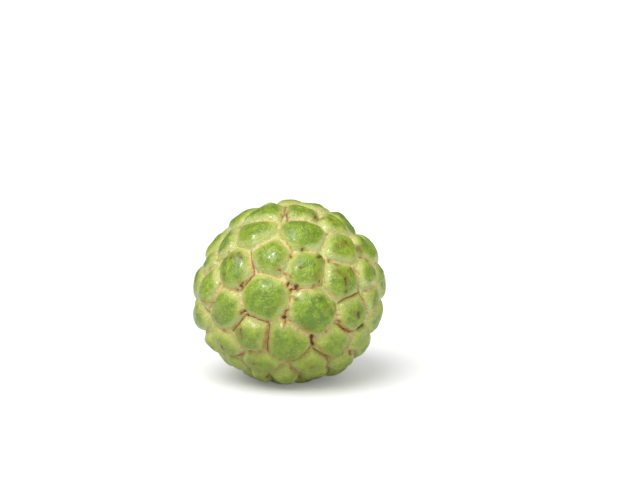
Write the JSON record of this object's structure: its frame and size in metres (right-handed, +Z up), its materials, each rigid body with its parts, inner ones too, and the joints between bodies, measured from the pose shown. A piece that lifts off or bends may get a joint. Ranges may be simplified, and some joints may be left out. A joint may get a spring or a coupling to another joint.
{
  "type": "custard apple",
  "caption": "Whole green sugar apple, a custard apple, covered in knobbly carpels parted by pale seams, with the cut stub of its stalk; it rests on its flattened lowest carpels.",
  "frame": {"origin": "middle of the flattened tip of the lowest carpel, on the surface that the fruit rests on", "axes": "+Z up, with the stalk leaning back from it towards +Y; -Y is the side that the picture shows"},
  "size_m": [0.08, 0.0781, 0.075],
  "materials": {
    "skin": "knobbly green rind, faintly waxy and pebbled, yellower low down, with cream seams that are cracked brown in places",
    "stalk": "dry grey-brown bark with a paler cut end"
  },
  "bodies": {
    "root": {"fruit": "skin", "stalk": "stalk"}
  },
  "joints": []
}
